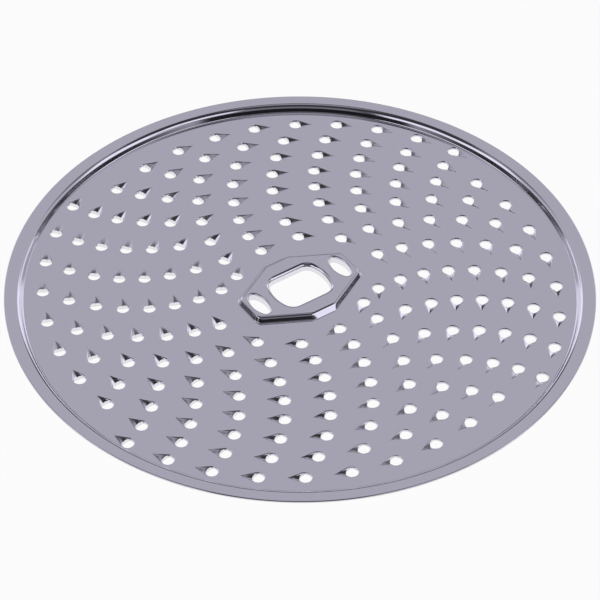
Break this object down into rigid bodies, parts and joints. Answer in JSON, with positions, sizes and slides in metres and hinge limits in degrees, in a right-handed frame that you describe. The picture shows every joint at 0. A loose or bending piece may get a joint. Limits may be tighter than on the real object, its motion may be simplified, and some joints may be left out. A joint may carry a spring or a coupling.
{
  "type": "food processor disc",
  "caption": "Round stainless steel food processor disc with fine pressed grating teeth on spiral arms, a stepped rim and a raised hub with a flat-sided drive hole.",
  "frame": {"origin": "on the disc's axis, level with the tooth tips that it rests on", "axes": "+Z along the axis, out of the face with the raised hub; +X along the hub's length"},
  "size_m": [0.137, 0.137, 0.0035],
  "materials": {
    "stainless_sheet": "satin"
  },
  "bodies": {
    "root": {"grating_disc": "stainless_sheet"}
  },
  "joints": []
}
